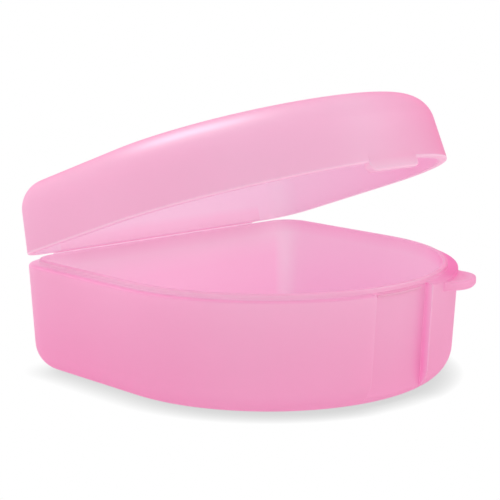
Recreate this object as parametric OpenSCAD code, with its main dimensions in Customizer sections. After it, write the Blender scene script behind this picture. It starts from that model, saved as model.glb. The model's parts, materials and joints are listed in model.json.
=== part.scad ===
// Hinged case for an orthodontic retainer: a deep base tray and a shallower lid of the same plan,
// moulded together, with a thin web of the same plastic along the back as the hinge.
// X runs along the hinge, the latch is at the front on -Y, and +Z is up.
// The origin is on the resting face, midway across the width and the depth.
// The lid is drawn ajar, at open_angle from closed.

/* [Plan] */
// Width of the case at the shoulder
case_w = 80; // [72:1:100]
// Depth of the case at the shoulder, from the back wall to the front of the half round
case_d = 75; // [66:1:95]
// Radius of the two back corners at the shoulder
corner_r = 8; // [7.5:0.5:12]

/* [Base] */
// Height of the base from its resting face to the shoulder
base_h = 23; // [18:0.5:35]
// Lean of the base's outer wall, in degrees
base_draft = 3.4; // [1:0.1:4.5]
// Radius round the outside of the base's foot
base_fillet = 6.5; // [2:0.1:8]
// Thickness of the base's floor
floor_t = 2; // [1.2:0.1:4]
// Lean of the wall of the base's hollow, in degrees
hollow_draft = 1.5; // [0.5:0.1:3]
// Radius round the foot of the base's hollow
hollow_fillet = 3.5; // [1:0.1:5]
// Height of the locating lip above the shoulder
lip_h = 1; // [0.6:0.1:2]
// Thickness of the locating lip at its top
lip_t = 1.1; // [0.8:0.1:2]

/* [Lid] */
// Height of the lid from its rim to its flat top
lid_h = 14.8; // [11:0.1:25]
// Lean of the lid's wall, in degrees
lid_draft = 5; // [1:0.1:7]
// Radius round the outside of the lid's top
lid_fillet = 6.3; // [3:0.1:8]
// Thickness of the lid's wall
lid_wall = 2; // [1.4:0.1:2.6]
// Thickness of the lid's flat top
lid_top_t = 1.8; // [1.2:0.1:3]
// Room between the lid's wall and the locating lip
lid_clear = 0.2; // [0.15:0.05:0.5]
// Gap left between the lid's rim and the shoulder when the case is closed
rim_gap = 0.3; // [0.2:0.05:0.6]
// Angle the lid stands open, in degrees
open_angle = 19; // [0:1:90]

/* [Hinge] */
// Bare length of the back wall between each end of the hinge and its corner
strap_margin = 3; // [0:0.5:12]
// How far the hinge leaves stand out from the back walls
leaf_t = 0.6; // [0.4:0.1:1.2]
// Height of each hinge leaf
leaf_h = 2.4; // [1.5:0.1:5]
// Length of the hinge web, measured flat between the leaves
web_len = 1.2; // [1.2:0.1:2.4]
// Thickness of the hinge web
web_t = 0.35; // [0.25:0.05:0.4]

/* [Latch] */
// Width of the latch tab
tab_w = 13; // [8:0.5:20]
// How far the latch tab hangs below the lid's rim
tab_drop = 1.9; // [1.5:0.1:4]
// How far the latch tab's foot stands out from the lid's wall
tab_proud = 0.6; // [0.3:0.1:1.2]
// How far up the lid's wall the latch tab's flare reaches
tab_rise = 5.5; // [3:0.5:7]
// Radius of the latch tab's lower corners
tab_corner = 1.2; // [0.5:0.1:1.4]
// Step from the lid's inner wall out to the latch tab's inner face
tab_setback = 0.5; // [0.3:0.1:0.8]
// Room between the latch tab and the recess behind it
tab_clear = 0.4; // [0.3:0.05:0.6]
// Room between the latch tab and each side of the recess
tab_side_clear = 1.5; // [0.5:0.1:3]
// Height of the catch ridge and of the snap bead
snap_t = 0.5; // [0.3:0.05:0.5]

/* [Finger ear] */
// Direction of the ear, in degrees to the right of the front
ear_angle = 28.5; // [22:0.5:50]
// Width of the ear
ear_w = 13.6; // [9:0.1:18]
// How far the ear stands out from the shoulder
ear_out = 4.2; // [2.5:0.1:9]
// Thickness of the ear
ear_t = 1.8; // [1.2:0.1:4]
// Radius of the ear's outer corners
ear_corner = 6; // [1:0.1:8]
// Depth of the ear's top below the shoulder
ear_drop = 0.6; // [0:0.1:4]

/* [Hidden] */
$fn = 128;
// How far a cutting shape runs past the face that it cuts
over = 1;
// Least flat left beside a rounded edge
least_flat = 0.2;
// How far the circle of a rounded foot runs past the two faces that it joins, so that it crosses them
round_cross = 0.005;
// Colours of the translucent plastic
base_pink = [0.94, 0.58, 0.76];
lid_pink = [0.96, 0.70, 0.82];
rim_pink = [0.93, 0.50, 0.70];

// The plan: a half round front, straight sides and two rounded back corners
arc_r = case_w / 2;
arc_y = arc_r - case_d / 2;
back_y = case_d / 2;
corner_x = case_w / 2 - corner_r;
corner_y = back_y - corner_r;

// The shoulder carries the lid's wall outside the lip
shoulder_w = lid_wall + lid_clear;
mouth_inset = shoulder_w + lip_t;
mouth_z = base_h + lip_h;
rim_z = base_h + rim_gap;

// The largest radius that a rounded foot can have at the back corners
function fillet_limit(inset, height, lean) =
    (corner_r - inset - least_flat - height * tan(lean)) / (1 / cos(lean) - tan(lean));
base_round = min(base_fillet, fillet_limit(0, base_h, base_draft));
hollow_round = min(hollow_fillet, fillet_limit(mouth_inset, mouth_z - floor_t, hollow_draft));
lid_round = min(lid_fillet, fillet_limit(0, lid_h, lid_draft));
lid_hollow_h = lid_h - lid_top_t;
lid_hollow_round = min(lid_round - lid_wall, fillet_limit(lid_wall, lid_hollow_h, lid_draft));

// The hinge turns about the middle of its web, level with the middle of the rim gap
strap_w = 2 * (corner_x - strap_margin);
leaf_y = back_y + leaf_t;
hinge_y = leaf_y + web_len / 2;
hinge_z = base_h + rim_gap / 2;
// Closed, the web bends through a half turn between its two roots
root_up = web_len / PI;
web_turn = 180 - open_angle;
base_root = [leaf_y, hinge_z - root_up];
lid_root = [hinge_y - web_len / 2 * cos(open_angle) + root_up * sin(open_angle),
            hinge_z + web_len / 2 * sin(open_angle) + root_up * cos(open_angle)];
web_r = norm(lid_root - base_root) / (2 * sin(web_turn / 2));

// The latch tab hangs in a recess of the base's front wall
tab_inset = lid_wall - tab_setback;
recess_depth = tab_inset + tab_clear;
recess_w = tab_w + 2 * tab_side_clear;
snap_out = tab_clear / 2;
tab_foot_z = rim_z - tab_drop;
tab_half_angle = asin(tab_w / 2 / arc_r);
// The snap bead rests just under the catch ridge when the case is closed
snap_gap = 0.1;
bead_z = tab_foot_z + snap_gap / 2;
catch_z = bead_z + snap_t + snap_gap;

// The ear's outer corners are limited by its width and its reach
ear_round = min(ear_corner, ear_w / 2 - least_flat, ear_out + mouth_inset - least_flat);

// The edge of a cup's section, from a corner's centre out: flat foot, rounded edge, leaning wall, open rim
module cup_edge(inset, height, lean, fillet) {
    reach = corner_r - inset;
    centre_z = fillet - round_cross;
    centre_x = reach - (height - centre_z) * tan(lean) - centre_z / cos(lean);
    difference() {
        polygon([[0, 0], [reach - height * tan(lean), 0], [reach, height], [0, height]]);
        difference() {
            translate([centre_x, -over])
                square([reach, over + centre_z - fillet * sin(lean)]);
            translate([centre_x, centre_z]) circle(fillet);
        }
    }
}

// Half of a cup's section, from its middle out
module cup_half(inset, height, lean, fillet) {
    square([corner_x, height]);
    translate([corner_x, 0]) cup_edge(inset, height, lean, fillet);
}

// The half round front of a cup
module front_round(inset, height, lean, fillet) {
    translate([0, arc_y, 0])
        rotate([0, 0, 180])
            rotate_extrude(angle = 180)
                cup_half(inset, height, lean, fillet);
}

// A solid cup of the case's plan, its foot at z = 0 and its rim drawn in by inset
module cup(inset, height, lean, fillet) {
    front_round(inset, height, lean, fillet);
    translate([0, corner_y, 0])
        rotate([90, 0, 0])
            linear_extrude(corner_y - arc_y) {
                cup_half(inset, height, lean, fillet);
                mirror([1, 0]) cup_half(inset, height, lean, fillet);
            }
    for (side = [0, 1])
        mirror([side, 0, 0])
            translate([corner_x, corner_y, 0])
                rotate_extrude(angle = 90)
                    cup_edge(inset, height, lean, fillet);
    translate([-corner_x, corner_y, 0])
        rotate([90, 0, 90])
            linear_extrude(2 * corner_x)
                cup_edge(inset, height, lean, fillet);
}

// The case's plan as a flat shape, drawn in by inset
module plan(inset) {
    reach = arc_r - inset;
    corner_reach = corner_r - inset;
    intersection() {
        translate([0, arc_y]) circle(reach);
        translate([-case_w, arc_y - case_w]) square([2 * case_w, case_w]);
    }
    translate([-reach, arc_y]) square([2 * reach, corner_y - arc_y]);
    translate([-corner_x, corner_y]) square([2 * corner_x, corner_reach]);
    for (side = [0, 1])
        mirror([side, 0])
            translate([corner_x, corner_y])
                intersection() {
                    circle(corner_reach);
                    square(corner_r);
                }
}

// The space inside the base, run on above the lip
module base_hollow() {
    translate([0, 0, floor_t])
        cup(mouth_inset - over * tan(hollow_draft), mouth_z + over - floor_t, hollow_draft, hollow_round);
}

// What is cut from the base's front wall to make room for the latch tab, run out on the rounded foot
module recess_cut() {
    top_r = arc_r - recess_depth + over * tan(base_draft);
    foot_r = arc_r - recess_depth - (base_h + over) * tan(base_draft);
    difference() {
        translate([-recess_w / 2, -back_y - over, -over])
            cube([recess_w, arc_r / 2, base_h + 2 * over]);
        translate([0, arc_y, -over])
            cylinder(h = base_h + 2 * over, r1 = foot_r, r2 = top_r);
    }
}

// A sector of a ring about the middle of the half round front, its section drawn by the children
module front_sector(half_angle) {
    translate([0, arc_y, 0])
        rotate([0, 0, -90 - half_angle])
            rotate_extrude(angle = 2 * half_angle)
                children();
}

// Turns a piece drawn on the closed case, with the lid's rim at z = rim_z, to the lid's open place
module on_open_lid() {
    translate([0, hinge_y, hinge_z])
        rotate([-open_angle, 0, 0])
            translate([0, -hinge_y, -hinge_z])
                children();
}

// A strip along the hinge, its section in Y and Z drawn by the children
module hinge_strip() {
    translate([-strap_w / 2, 0, 0])
        rotate([90, 0, 90])
            linear_extrude(strap_w)
                children();
}

// The deep tray, with the latch recess down its front
module base_shell() {
    color(base_pink)
        difference() {
            cup(0, base_h, base_draft, base_round);
            base_hollow();
            recess_cut();
        }
}

// The raised lip that the lid's wall locates on
module base_rim_lip() {
    color(rim_pink)
        difference() {
            translate([0, 0, base_h]) linear_extrude(lip_h) plan(shoulder_w);
            base_hollow();
        }
}

// The tongue beside the latch that a thumb holds down while the lid is lifted
module finger_ear() {
    tip = arc_r + ear_out;
    root = arc_r - mouth_inset;
    color(rim_pink)
        difference() {
            translate([0, arc_y, base_h - ear_drop - ear_t])
                rotate([0, 0, ear_angle])
                    linear_extrude(ear_t) {
                        translate([-ear_w / 2, ear_round - tip])
                            square([ear_w, tip - ear_round - root]);
                        translate([ear_round - ear_w / 2, -tip])
                            square([ear_w - 2 * ear_round, ear_round]);
                        for (side = [-1, 1])
                            translate([side * (ear_w / 2 - ear_round), ear_round - tip])
                                circle(ear_round);
                    }
            front_round(-over * tan(base_draft), base_h + over, base_draft, base_round);
        }
}

// The ridge across the recess that the snap bead clicks under
module latch_catch() {
    face_top = arc_r - recess_depth - (base_h - catch_z - snap_t) * tan(base_draft);
    face_foot = arc_r - recess_depth - (base_h - catch_z) * tan(base_draft);
    color(base_pink)
        front_sector(tab_half_angle)
            polygon([[face_foot, catch_z], [face_foot + snap_out, catch_z + snap_t / 2],
                     [face_top, catch_z + snap_t]]);
}

// The thick root of the hinge on the base's back wall
module base_hinge_leaf() {
    wall_y = back_y - leaf_h * tan(base_draft);
    color(base_pink)
        hinge_strip()
            polygon([[wall_y, base_h - leaf_h], [leaf_y, base_h - leaf_h + leaf_t],
                     [leaf_y, base_h], [back_y, base_h]]);
}

// The thin web that bends, an arc from one leaf to the other
module hinge_web() {
    far = 2 * web_r + web_t;
    centre = base_root + [0, web_r];
    color(lid_pink)
        hinge_strip()
            translate(centre)
                intersection() {
                    difference() {
                        circle(web_r + web_t / 2);
                        circle(web_r - web_t / 2);
                    }
                    polygon([[0, 0], [0, -far], [far, -far], [far, far],
                             far * [cos(web_turn - 90), sin(web_turn - 90)]]);
                }
}

// The shallow lid
module lid_shell() {
    hollow_inset = lid_wall - over * tan(lid_draft);
    color(lid_pink)
        on_open_lid()
            difference() {
                translate([0, 0, rim_z + lid_h])
                    mirror([0, 0, 1])
                        cup(0, lid_h, lid_draft, lid_round);
                translate([0, 0, rim_z + lid_hollow_h])
                    mirror([0, 0, 1])
                        cup(hollow_inset, lid_hollow_h + over, lid_draft, lid_hollow_round);
            }
}

// The flared tab that a finger lifts, hung from the lid's rim over the recess
module latch_tab() {
    flare = (tab_proud + tab_rise * tan(lid_draft)) / (tab_rise + tab_drop);
    color(lid_pink)
        on_open_lid()
            translate([0, 0, rim_z])
                intersection() {
                    front_sector(2 * tab_half_angle)
                        polygon([[arc_r - tab_inset, -tab_drop - over],
                                 [arc_r + tab_proud + flare * over, -tab_drop - over],
                                 [arc_r - tab_rise * tan(lid_draft), tab_rise],
                                 [arc_r, 0], [arc_r - tab_inset, 0]]);
                    rotate([90, 0, 0])
                        linear_extrude(case_d) {
                            translate([-tab_w / 2, tab_corner - tab_drop])
                                square([tab_w, tab_drop - tab_corner + tab_rise + over]);
                            translate([tab_corner - tab_w / 2, -tab_drop])
                                square([tab_w - 2 * tab_corner, tab_corner]);
                            for (side = [-1, 1])
                                translate([side * (tab_w / 2 - tab_corner), tab_corner - tab_drop])
                                    circle(tab_corner);
                        }
                }
}

// The bead inside the latch tab's foot
module latch_bead() {
    face = arc_r - tab_inset;
    bead_half_angle = asin((tab_w / 2 - tab_corner) / arc_r);
    color(lid_pink)
        on_open_lid()
            front_sector(bead_half_angle)
                polygon([[face, bead_z], [face, bead_z + snap_t], [face - snap_out, bead_z + snap_t / 2]]);
}

// The thick root of the hinge on the lid's back wall
module lid_hinge_leaf() {
    wall_y = back_y - leaf_h * tan(lid_draft);
    color(lid_pink)
        on_open_lid()
            hinge_strip()
                polygon([[back_y, rim_z], [leaf_y, rim_z], [leaf_y, rim_z + leaf_h - leaf_t],
                         [wall_y, rim_z + leaf_h]]);
}

base_shell();
base_rim_lip();
finger_ear();
latch_catch();
base_hinge_leaf();
hinge_web();
lid_shell();
latch_tab();
latch_bead();
lid_hinge_leaf();
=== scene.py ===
"""Looks of a hinged retainer case in translucent plastic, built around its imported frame.

Every size is in metres and every piece is drawn where the frame has it. The base is drawn as it stands.
The lid's pieces are drawn on the closed case and then turned about the hinge to the lid's open place.
"""

import json
import logging
import math
from dataclasses import dataclass, field, replace
from enum import Enum
from typing import Any, Sequence

import bmesh
import bpy
import numpy as np
from bpy.types import ID, Material, Node, NodeTree, Object, World
from mathutils import Matrix, Vector


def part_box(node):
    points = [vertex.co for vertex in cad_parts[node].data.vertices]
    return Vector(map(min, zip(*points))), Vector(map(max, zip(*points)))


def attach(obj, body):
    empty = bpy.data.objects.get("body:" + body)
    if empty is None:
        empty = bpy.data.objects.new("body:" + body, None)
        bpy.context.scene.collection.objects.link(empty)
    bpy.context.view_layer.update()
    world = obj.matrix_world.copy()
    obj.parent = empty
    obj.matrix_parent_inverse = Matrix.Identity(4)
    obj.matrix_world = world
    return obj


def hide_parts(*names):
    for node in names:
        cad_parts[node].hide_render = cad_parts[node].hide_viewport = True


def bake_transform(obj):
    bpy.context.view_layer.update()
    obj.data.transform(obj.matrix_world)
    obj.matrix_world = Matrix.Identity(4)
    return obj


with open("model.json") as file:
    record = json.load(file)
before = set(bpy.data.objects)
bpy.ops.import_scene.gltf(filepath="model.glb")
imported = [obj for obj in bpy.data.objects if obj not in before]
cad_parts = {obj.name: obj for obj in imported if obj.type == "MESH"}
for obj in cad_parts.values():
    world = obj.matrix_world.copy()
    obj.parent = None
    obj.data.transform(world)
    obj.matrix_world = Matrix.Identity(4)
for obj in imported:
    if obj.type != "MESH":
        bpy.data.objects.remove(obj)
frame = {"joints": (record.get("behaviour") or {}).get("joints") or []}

LOG = logging.getLogger("retainer_case")
MM = 0.001
HAIR = 0.001 * MM
TINT_DEPTH = "tint_depth"
SHARP_ANGLE = math.radians(50.0)
WHITE = (1.0, 1.0, 1.0, 1.0)
# Places of a mix node's two colours and of its mixed colour.
PALE_SOCKET, DEEP_SOCKET, MIXED_SOCKET = 6, 7, 2
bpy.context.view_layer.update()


def degrees_between(start: float, end: float, steps: int) -> np.ndarray:
    """Angles in radians, in equal steps from start to end degrees, both included."""
    return np.radians(np.linspace(start, end, steps + 1))


def eased(share: np.ndarray) -> np.ndarray:
    """A share, held between 0 and 1, that starts and ends softly."""
    part = np.clip(share, 0.0, 1.0)
    return part * part * (3 - 2 * part)


def lean_of(angle: float) -> tuple[float, float]:
    """How fast a leaning wall draws in, and how far in from it the centre of a unit rounding lies."""
    return math.tan(math.radians(angle)), 1 / math.cos(math.radians(angle))


def add_object(name: str, data: ID) -> Object:
    """Adds an object to the scene.

    Args:
        name: Name of the object.
        data: What it shows.

    Returns:
        The new object.
    """
    made = bpy.data.objects.new(name, data)
    bpy.context.scene.collection.objects.link(made)
    return made


def clean(shape: bmesh.types.BMesh) -> None:
    """Joins points that coincide and turns the faces outwards."""
    bmesh.ops.remove_doubles(shape, verts=shape.verts, dist=HAIR)
    bmesh.ops.recalc_face_normals(shape, faces=shape.faces)


def emptied_tree(owner: Material | World) -> NodeTree:
    """Makes a material or a world use nodes.

    Args:
        owner: The material or the world.

    Returns:
        Its node tree, without nodes.
    """
    owner.use_nodes = True
    owner.node_tree.nodes.clear()
    return owner.node_tree


def add_node(tree: NodeTree, kind: str, values: dict[str | int, Any] | None = None,
             **settings: Any) -> Node:
    """Adds a node to a tree.

    Args:
        tree: The tree.
        kind: The node's type.
        values: What some of its inputs are set to.
        settings: What some of its properties are set to, before the inputs.

    Returns:
        The new node.
    """
    node = tree.nodes.new(kind)
    for name, setting in settings.items():
        setattr(node, name, setting)
    for socket, value in (values or {}).items():
        node.inputs[socket].default_value = value
    return node


def wire(tree: NodeTree, *links: tuple[Node, str | int, Node, str | int]) -> None:
    """Links nodes of a tree. A link is a node, its output, the next node and its input."""
    for start, output, end, entry in links:
        tree.links.new(start.outputs[output], end.inputs[entry])


@dataclass
class Recess:
    """The hollow down the front wall that the latch tab hangs in. It runs out on the rounded foot."""

    width: float = 16.0 * MM
    depth: float = 1.9 * MM
    outer_edge: float = 0.25 * MM
    inner_edge: float = 0.3 * MM
    spread: float = 2.0 * MM
    flat_steps: int = 8
    corner_steps: int = 4

    def stations(self) -> tuple[np.ndarray, np.ndarray, np.ndarray]:
        """Points across the right half of the recess, from its middle out.

        Returns:
            Their places across the front where the recess is, their places where the front is plain,
            and the share of the recess's depth that each has.
        """
        half = self.width / 2
        flat = np.linspace(0.0, half - self.inner_edge, self.flat_steps + 1)
        turn = degrees_between(0.0, 90.0, self.corner_steps)
        inner_x = half - self.inner_edge * (1 - np.sin(turn))
        inner_depth = self.depth - self.inner_edge * (1 - np.cos(turn))
        outer_x = half + self.outer_edge * (1 - np.cos(turn))
        outer_depth = self.outer_edge * (1 - np.sin(turn))
        cut_x = np.concatenate([flat, inner_x[1:], outer_x])
        depth = np.concatenate([np.full(len(flat), self.depth), inner_depth[1:], outer_depth])
        side = len(cut_x) - len(flat)
        plain_x = np.concatenate([flat, flat[-1] + np.arange(1, side + 1) * self.spread / side])
        return cut_x, plain_x, depth / self.depth


@dataclass
class HingeStrip:
    """The thickened strip along a back wall that the hinge's web grows from."""

    half_width: float
    proud: float = 0.6 * MM
    height: float = 2.4 * MM
    edge: float = 0.3 * MM
    past: float = 1.5 * MM
    edge_steps: int = 3
    middle_steps: int = 6

    def stations(self) -> np.ndarray:
        """Places along the right half of the back wall.

        Returns:
            Their distances from its middle, from just past the strip's end to 0.
        """
        end = self.half_width - self.edge * np.linspace(0.0, 1.0, self.edge_steps + 1)
        middle = np.linspace(end[-1], 0.0, self.middle_steps + 1)[1:]
        return np.concatenate([[self.half_width + self.past], end, middle])

    def share(self, ring: np.ndarray) -> np.ndarray:
        """Where the strip is along a ring, from 0 past its rounded ends to 1."""
        past = 1 - np.clip((self.half_width - np.abs(ring[:, 0])) / self.edge, 0.0, 1.0)
        return np.where(ring[:, 1] > 0.0, np.sqrt(1 - past * past), 0.0)

    def raised(self, ring: np.ndarray, away: float) -> np.ndarray:
        """A ring with its points on the back wall moved out to the strip's face.

        Args:
            ring: Points.
            away: How far the ring lies from the wall's edge at the hinge.

        Returns:
            The moved points.
        """
        rise = math.sin(math.pi / 2 * min(1.0, max(0.0, (self.height - away) / self.proud)))
        moved = ring.copy()
        moved[:, 1] += self.proud * rise * self.share(ring)
        return moved


@dataclass
class CasePlan:
    """The plan that both halves share: half round front, straight sides, rounded back corners.

    Across the front its points keep their places however far in it is drawn, up to square_to of the
    radius, and move in along the radius from radial_from on. Two points lie at each end of the ear.
    """

    radius: float
    arc_y: float
    back_y: float
    strip: HingeStrip
    ear_angles: np.ndarray
    corner: float = 8.0 * MM
    near_reach: float = 10.4 * MM
    before_steps: int = 3
    front_steps: int = 30
    corner_steps: int = 14
    side_steps: int = 8
    square_to: float = 0.28
    radial_from: float = 0.6
    flank_from: float = 0.7

    def half(self, inset: float, near_x: np.ndarray, near_inset: np.ndarray | None = None) -> np.ndarray:
        """The right half of the plan, from the middle of the front to the middle of the back.

        Args:
            inset: How far it is drawn in.
            near_x: Places across the front near its middle.
            near_inset: How far each of those is drawn in, where that differs.

        Returns:
            Points in plan.
        """
        if near_inset is None:
            near_inset = np.full(len(near_x), inset)
        first = math.degrees(math.asin(self.near_reach / self.radius))
        before = np.linspace(first, self.ear_angles[0], self.before_steps + 1)[:-1]
        after = np.linspace(self.ear_angles[-1], 90.0, self.front_steps)[1:]
        far_x = self.radius * np.sin(np.radians(np.concatenate([before, self.ear_angles, after])))
        radial = eased((far_x / self.radius - self.square_to) / (self.radial_from - self.square_to))
        far_x = far_x * (1 - radial * inset / self.radius)
        x = np.concatenate([near_x, far_x])
        reach = self.radius - np.concatenate([near_inset, np.full(len(far_x), inset)])
        front = np.stack([x, self.arc_y - np.sqrt(np.maximum(reach * reach - x * x, 0))], 1)
        corner_x = self.radius - self.corner
        corner_y = self.back_y - self.corner
        side_y = np.linspace(self.arc_y, corner_y, self.side_steps + 1)[1:-1]
        side = np.stack([np.full(len(side_y), self.radius - inset), side_y], 1)
        turn = degrees_between(0.0, 90.0, self.corner_steps)
        corner = np.stack([corner_x + (self.corner - inset) * np.cos(turn),
                           corner_y + (self.corner - inset) * np.sin(turn)], 1)
        back_x = self.strip.stations()
        back = np.stack([back_x, np.full(len(back_x), self.back_y - inset)], 1)
        return np.concatenate([front, side, corner, back])

    def corner_share(self, ring: np.ndarray) -> np.ndarray:
        """How far each point of a ring is into the bend of a back corner.

        Args:
            ring: Points.

        Returns:
            One value for each point, from 0 at the bend's ends to 1 in its middle.
        """
        beside = np.abs(ring[:, 0]) - (self.radius - self.corner)
        behind = ring[:, 1] - (self.back_y - self.corner)
        turn = np.arctan2(np.maximum(behind, 0.0), np.maximum(beside, HAIR))
        return np.where(beside > 0.0, np.sin(2 * turn), 0.0)

    def back_share(self, ring: np.ndarray) -> np.ndarray:
        """How near each point of a ring is to the back wall, from 0 before its corners to 1 on it."""
        return np.clip((ring[:, 1] - self.back_y + self.corner) / self.corner, 0.0, 1.0)

    def flank_share(self, ring: np.ndarray) -> np.ndarray:
        """How near each point of a ring is to a straight side, from 0 on the front to 1 beside it."""
        return eased((np.abs(ring[:, 0]) / self.radius - self.flank_from) / (1 - self.flank_from))

    def beside_angle(self, ring: np.ndarray, angle: float, spread: float) -> np.ndarray:
        """How near a ring's points are to an angle on the front, fading over a spread, both in degrees."""
        turn = np.degrees(np.arctan2(ring[:, 0], self.arc_y - ring[:, 1]))
        return np.exp(-((turn - angle) / spread) ** 2)


def mirrored(half: np.ndarray) -> np.ndarray:
    """A whole ring from its right half, whose two ends lie on the middle."""
    left = half[1:-1][::-1]
    return np.concatenate([half, left * np.array([-1.0, 1.0, 1.0])])


def lifted(points: np.ndarray, height: float) -> np.ndarray:
    """Flat points as points at a height."""
    return np.column_stack([points, np.full(len(points), height)])


def loft(name: str, rings: Sequence[np.ndarray], turn: Matrix | None = None,
         depths: Sequence[np.ndarray] | None = None, edges: Sequence[bool] | None = None) -> Object:
    """A closed skin over rings of points, with both ends capped.

    Args:
        name: Name of the piece.
        rings: Rings with the same number of points, in order.
        turn: Where the finished skin is moved to, if anywhere.
        depths: How deep the plastic's tint is at each point of each ring, from 0 to 1. None is 0.
        edges: Which rings lie on an edge. Faces between two of them take the piece's second plastic.

    Returns:
        The new object.
    """
    shape = bmesh.new()
    tint = shape.verts.layers.float.new(TINT_DEPTH)
    rows = []
    for index, ring in enumerate(rings):
        row = [shape.verts.new(point) for point in ring]
        if depths is not None:
            for vert, deep in zip(row, depths[index]):
                vert[tint] = float(deep)
        rows.append(row)
    count = len(rows[0])
    for index, (low, high) in enumerate(zip(rows, rows[1:])):
        on_edge = edges is not None and edges[index] and edges[index + 1]
        for i in range(count):
            j = (i + 1) % count
            face = shape.faces.new((low[i], low[j], high[j], high[i]))
            face.material_index = int(on_edge)
    shape.faces.new(rows[0][::-1])
    shape.faces.new(rows[-1])
    clean(shape)
    if turn is not None:
        shape.transform(turn)
    mesh = bpy.data.meshes.new(name)
    shape.to_mesh(mesh)
    shape.free()
    mesh.shade_smooth()
    mesh.set_sharp_from_angle(angle=SHARP_ANGLE)
    return add_object(name, mesh)


class Part(Enum):
    """The halves of the case that pieces ride on."""

    BASE = "base"
    LID = "lid"
    BOTH = "base and lid"


@dataclass(frozen=True)
class TranslucentPlastic:
    """Satin moulded plastic that lets light through, from pale to deep in colour with the tint's depth."""

    name: str
    slot: str
    pale: tuple[float, float, float]
    deep: tuple[float, float, float]
    glow: float = 0.85
    shine: float = 0.12
    roughness: float = 0.45
    unevenness: float = 0.06
    refraction: float = 1.49
    cloudiness: float = 0.08
    cloud_scale: float = 45.0
    cloud_detail: float = 3.0
    grain_scale: float = 2600.0
    grain_detail: float = 2.0
    grain_strength: float = 0.08
    grain_depth: float = 0.05 * MM

    def material(self) -> Material:
        """The plastic's material, built when it is first asked for."""
        return bpy.data.materials.get(self.name) or self.build()

    def build(self) -> Material:
        """Builds the plastic: cloudy colour, uneven satin gloss, fine moulded grain.

        Returns:
            The new material.
        """
        made = bpy.data.materials.new(self.name)
        tree = emptied_tree(made)
        place = add_node(tree, "ShaderNodeTexCoord")
        cloud = add_node(tree, "ShaderNodeTexNoise",
                         {"Scale": self.cloud_scale, "Detail": self.cloud_detail})
        grain = add_node(tree, "ShaderNodeTexNoise",
                         {"Scale": self.grain_scale, "Detail": self.grain_detail})
        tint = add_node(tree, "ShaderNodeAttribute", attribute_name=TINT_DEPTH)
        depth = add_node(tree, "ShaderNodeMath", {1: self.cloudiness},
                         operation="MULTIPLY_ADD", use_clamp=True)
        colour = add_node(tree, "ShaderNodeMix",
                          {PALE_SOCKET: (*self.pale, 1.0), DEEP_SOCKET: (*self.deep, 1.0)},
                          data_type="RGBA")
        satin = add_node(tree, "ShaderNodeMapRange", {"To Min": self.roughness - self.unevenness,
                                                      "To Max": self.roughness + self.unevenness})
        bump = add_node(tree, "ShaderNodeBump",
                        {"Strength": self.grain_strength, "Distance": self.grain_depth})
        skin = add_node(tree, "ShaderNodeBsdfPrincipled", {"IOR": self.refraction})
        through = add_node(tree, "ShaderNodeBsdfTranslucent")
        body = add_node(tree, "ShaderNodeMixShader", {0: self.glow})
        gloss = add_node(tree, "ShaderNodeBsdfGlossy", {"Color": WHITE})
        glossed = add_node(tree, "ShaderNodeMixShader", {0: self.shine})
        out = add_node(tree, "ShaderNodeOutputMaterial")
        wire(tree, (place, "Object", cloud, "Vector"), (place, "Object", grain, "Vector"),
             (cloud, "Fac", depth, 0), (tint, "Fac", depth, 2), (depth, 0, colour, 0),
             (colour, MIXED_SOCKET, skin, "Base Color"), (colour, MIXED_SOCKET, through, "Color"),
             (cloud, "Fac", satin, "Value"), (grain, "Fac", bump, "Height"))
        for surface in (skin, gloss):
            wire(tree, (satin, "Result", surface, "Roughness"), (bump, "Normal", surface, "Normal"))
        wire(tree, (skin, "BSDF", body, 1), (through, "BSDF", body, 2), (body, "Shader", glossed, 1),
             (gloss, "BSDF", glossed, 2), (glossed, "Shader", out, "Surface"))
        return made


BASE_PINK = TranslucentPlastic("base_pink", "base_plastic", (0.94, 0.885, 0.915), (0.97, 0.36, 0.665))
BASE_EDGE_PINK = replace(BASE_PINK, name="base_edge_pink", shine=0.05)
LID_PINK = TranslucentPlastic("lid_pink", "lid_plastic", (0.935, 0.84, 0.91), (0.96, 0.46, 0.684))
# Painted light: the lid's rim and the tab's lower edge take this copy of the lid's plastic, with other
# colours and less glow, so they show as light lines.
LID_RIM_LIGHT_PINK = replace(LID_PINK, name="lid_rim_painted_light_pink", pale=(0.97, 0.66, 0.81), deep=(0.965, 0.50, 0.70),
                        glow=0.45)
HINGE_PINK = TranslucentPlastic("hinge_pink", "hinge_plastic", (0.965, 0.80, 0.89), (0.95, 0.62, 0.78))


def finish_piece(piece: Object, plastics: Sequence[TranslucentPlastic], part: Part, *nodes: str) -> None:
    """Gives a piece its plastics, makes it stand for its frame nodes and reports it.

    Args:
        piece: The finished piece. One that rides on both halves is attached to neither.
        plastics: Its plastics, the one for its edges last. One that it has already isn't added again.
        part: The half of the case that it rides on.
        nodes: The frame nodes that it stands for.
    """
    for plastic in plastics:
        if plastic.name not in piece.data.materials:
            piece.data.materials.append(plastic.material())
    if part is not Part.BOTH:
        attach(piece, part.value)
    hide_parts(*nodes)
    LOG.info("%s: %d faces, rides on %s", piece.name, len(piece.data.polygons), part.value)


def round_profile(centre: tuple[float, float], radius: float, start: float, end: float,
                  steps: int) -> list[tuple[float, float]]:
    """A round stretch of a wall's section.

    Args:
        centre: Inset and height of its centre.
        radius: Its radius.
        start: First angle in degrees, 0 pointing outwards and 90 up.
        end: Last angle in degrees.
        steps: How many steps it is drawn in.

    Returns:
        Pairs of inset and height.
    """
    return [(centre[0] - radius * math.cos(a), centre[1] + radius * math.sin(a))
            for a in degrees_between(start, end, steps)]


@dataclass
class EarRow:
    """One ring of the tray's skin that runs out round the ear.

    The share is how far out it is from the wall, and the inset how far in it is from the ear's outline.
    """

    height: float
    share: float
    inset: float
    dished: bool = False


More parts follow.
